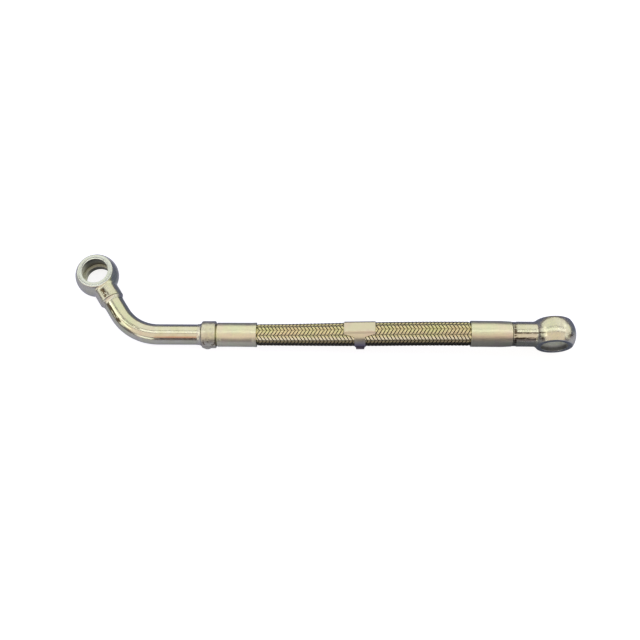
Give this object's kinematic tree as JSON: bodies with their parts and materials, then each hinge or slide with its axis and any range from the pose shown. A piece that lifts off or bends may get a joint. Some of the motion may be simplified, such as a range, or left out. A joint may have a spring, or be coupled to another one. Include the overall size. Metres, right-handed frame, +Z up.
{
  "type": "turbo coolant line",
  "caption": "Coolant line for a turbocharger: a bent steel tube and a wire-braided hose joined by crimp ferrules, with a banjo eye at each end.",
  "frame": {"origin": "bottom centre of the line's box as it lies on a bench", "axes": "+X along the straight run from the bent tube to the right eye, +Y towards the side that the tube bends to, +Z up"},
  "size_m": [0.2716, 0.0542, 0.0236],
  "materials": {
    "zinc_steel": "yellow-passivated zinc plating, satin",
    "collar_zinc": "yellow-passivated zinc over a rough forged skin",
    "braze_metal": "plated braze fillet",
    "braid_wire": "yellow-passivated wire braid",
    "liner_rubber": "plain hose rubber",
    "band_sheet": "plated sheet, satin, left bare"
  },
  "bodies": {
    "root": {"left_eye": "zinc_steel", "bent_tube": "zinc_steel", "neck_braze": "braze_metal", "collar_braze": "braze_metal", "stop_collar": "collar_zinc", "hose_tail": "zinc_steel", "left_ferrule": "zinc_steel", "hose_liner": "liner_rubber", "wire_braid": "braid_wire", "id_band": "band_sheet", "right_ferrule": "zinc_steel", "right_eye": "zinc_steel"}
  },
  "joints": []
}
